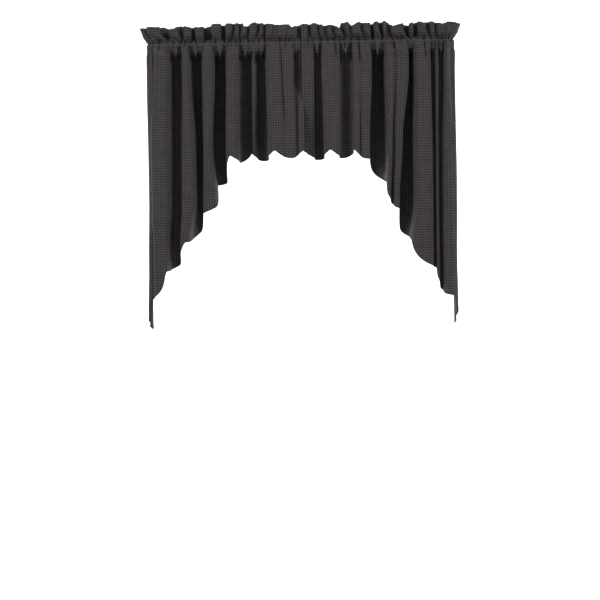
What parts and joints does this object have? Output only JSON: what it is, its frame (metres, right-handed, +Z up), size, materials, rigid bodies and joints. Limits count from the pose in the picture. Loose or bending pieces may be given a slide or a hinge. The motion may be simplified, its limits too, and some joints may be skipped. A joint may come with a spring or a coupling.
{
  "type": "swag curtain",
  "caption": "Scalloped swag curtain with a ruffled rod-pocket heading, short in the middle and long at the sides.",
  "frame": {"origin": "middle of the rod pocket, midway between the two sides, where the two panels meet", "axes": "+X across the window to the right, +Y back towards the wall, +Z up"},
  "size_m": [0.9525, 0.1119, 0.919],
  "materials": {
    "check_cotton": "matte woven cotton in a small charcoal check"
  },
  "bodies": {
    "root": {"left_heading": "check_cotton", "left_panel": "check_cotton", "right_heading": "check_cotton", "right_panel": "check_cotton"}
  },
  "joints": []
}
